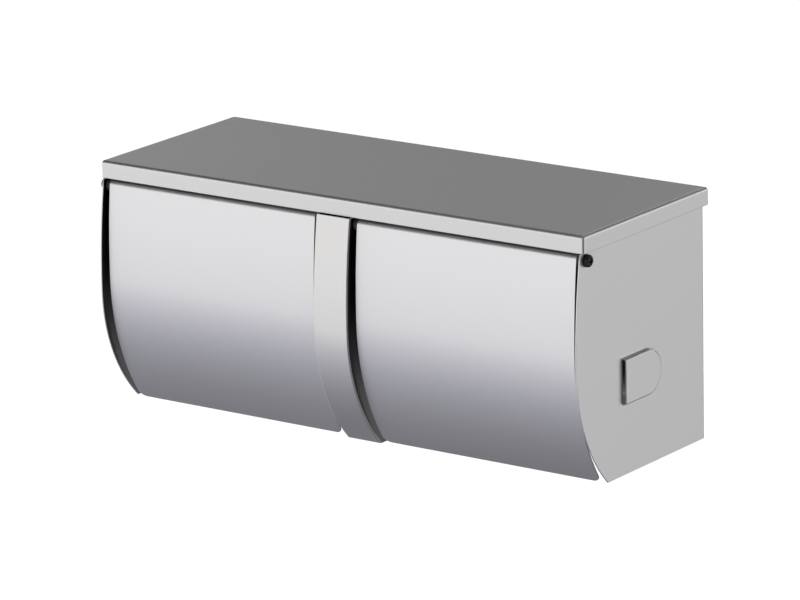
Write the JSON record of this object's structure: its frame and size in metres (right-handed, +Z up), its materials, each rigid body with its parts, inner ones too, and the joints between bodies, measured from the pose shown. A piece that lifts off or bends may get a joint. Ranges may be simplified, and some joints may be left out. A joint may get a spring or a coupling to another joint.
{
  "type": "toilet paper holder",
  "caption": "Wall-mounted stainless steel toilet paper holder: a flat shelf over side-by-side roll bays, each with a hinged bowed cover and a telescoping spring roller.",
  "frame": {"origin": "middle of the shelf's rear lip, on its outer face, in the wall plane", "axes": "+X to the right seen from the room, +Y into the wall, +Z up"},
  "size_m": [0.3048, 0.1196, 0.1333],
  "materials": {
    "sheet_steel": "fine satin stainless steel sheet",
    "cover_steel": "bright satin stainless steel sheet, brushed along its length",
    "rod_steel": "drawn stainless steel rod",
    "black_hardware": "black plated steel, slightly glossy",
    "black_nylon": "matt black nylon",
    "roller_steel": "polished stainless steel tube",
    "plug_plastic": "moulded pale grey plastic",
    "spring_steel": "drawn spring wire"
  },
  "bodies": {
    "holder": {"shelf_tray": "sheet_steel", "body_shell": "sheet_steel", "centre_divider": "sheet_steel", "left_hinge_rod": "rod_steel", "right_hinge_rod": "rod_steel", "left_hinge_screw": "black_hardware", "right_hinge_screw": "black_hardware", "left_hinge_washer": "black_hardware", "right_hinge_washer": "black_hardware", "left_inner_spacer": "black_nylon", "left_outer_spacer": "black_nylon", "right_inner_spacer": "black_nylon", "right_outer_spacer": "black_nylon"},
    "left_cover": {"left_cover": "cover_steel"},
    "right_cover": {"right_cover": "cover_steel"},
    "left_roller_outer": {"left_roller_outer_tube": "roller_steel", "left_roller_outer_plug": "plug_plastic", "left_roller_spring": "spring_steel"},
    "left_roller_inner": {"left_roller_inner_tube": "roller_steel", "left_roller_inner_plug": "plug_plastic"},
    "right_roller_outer": {"right_roller_outer_tube": "roller_steel", "right_roller_outer_plug": "plug_plastic", "right_roller_spring": "spring_steel"},
    "right_roller_inner": {"right_roller_inner_tube": "roller_steel", "right_roller_inner_plug": "plug_plastic"}
  },
  "joints": [
    {"name": "left_cover_hinge", "type": "hinge", "parent": "holder", "child": "left_cover", "pos_m": [-0.0793, -0.1103, -0.0086], "axis": [-1, 0, 0], "range_deg": [-25, 85]},
    {"name": "right_cover_hinge", "type": "hinge", "parent": "holder", "child": "right_cover", "pos_m": [0.0793, -0.1103, -0.0086], "axis": [-1, 0, 0], "range_deg": [-25, 85]},
    {"name": "left_roller_spin", "type": "hinge", "parent": "holder", "child": "left_roller_outer", "pos_m": [-0.0793, -0.0579, -0.0793], "axis": [1, 0, 0], "continuous": true},
    {"name": "right_roller_spin", "type": "hinge", "parent": "holder", "child": "right_roller_outer", "pos_m": [0.0793, -0.0579, -0.0793], "axis": [1, 0, 0], "continuous": true},
    {"name": "left_roller_telescope", "type": "slide", "parent": "left_roller_outer", "child": "left_roller_inner", "axis": [-1, 0, 0], "range_m": [0, 0.01], "stiffness_N_per_m": 350, "springref_m": -0.01, "deforming": ["left_roller_spring"]},
    {"name": "right_roller_telescope", "type": "slide", "parent": "right_roller_outer", "child": "right_roller_inner", "axis": [1, 0, 0], "range_m": [0, 0.01], "stiffness_N_per_m": 350, "springref_m": -0.01, "deforming": ["right_roller_spring"]}
  ]
}
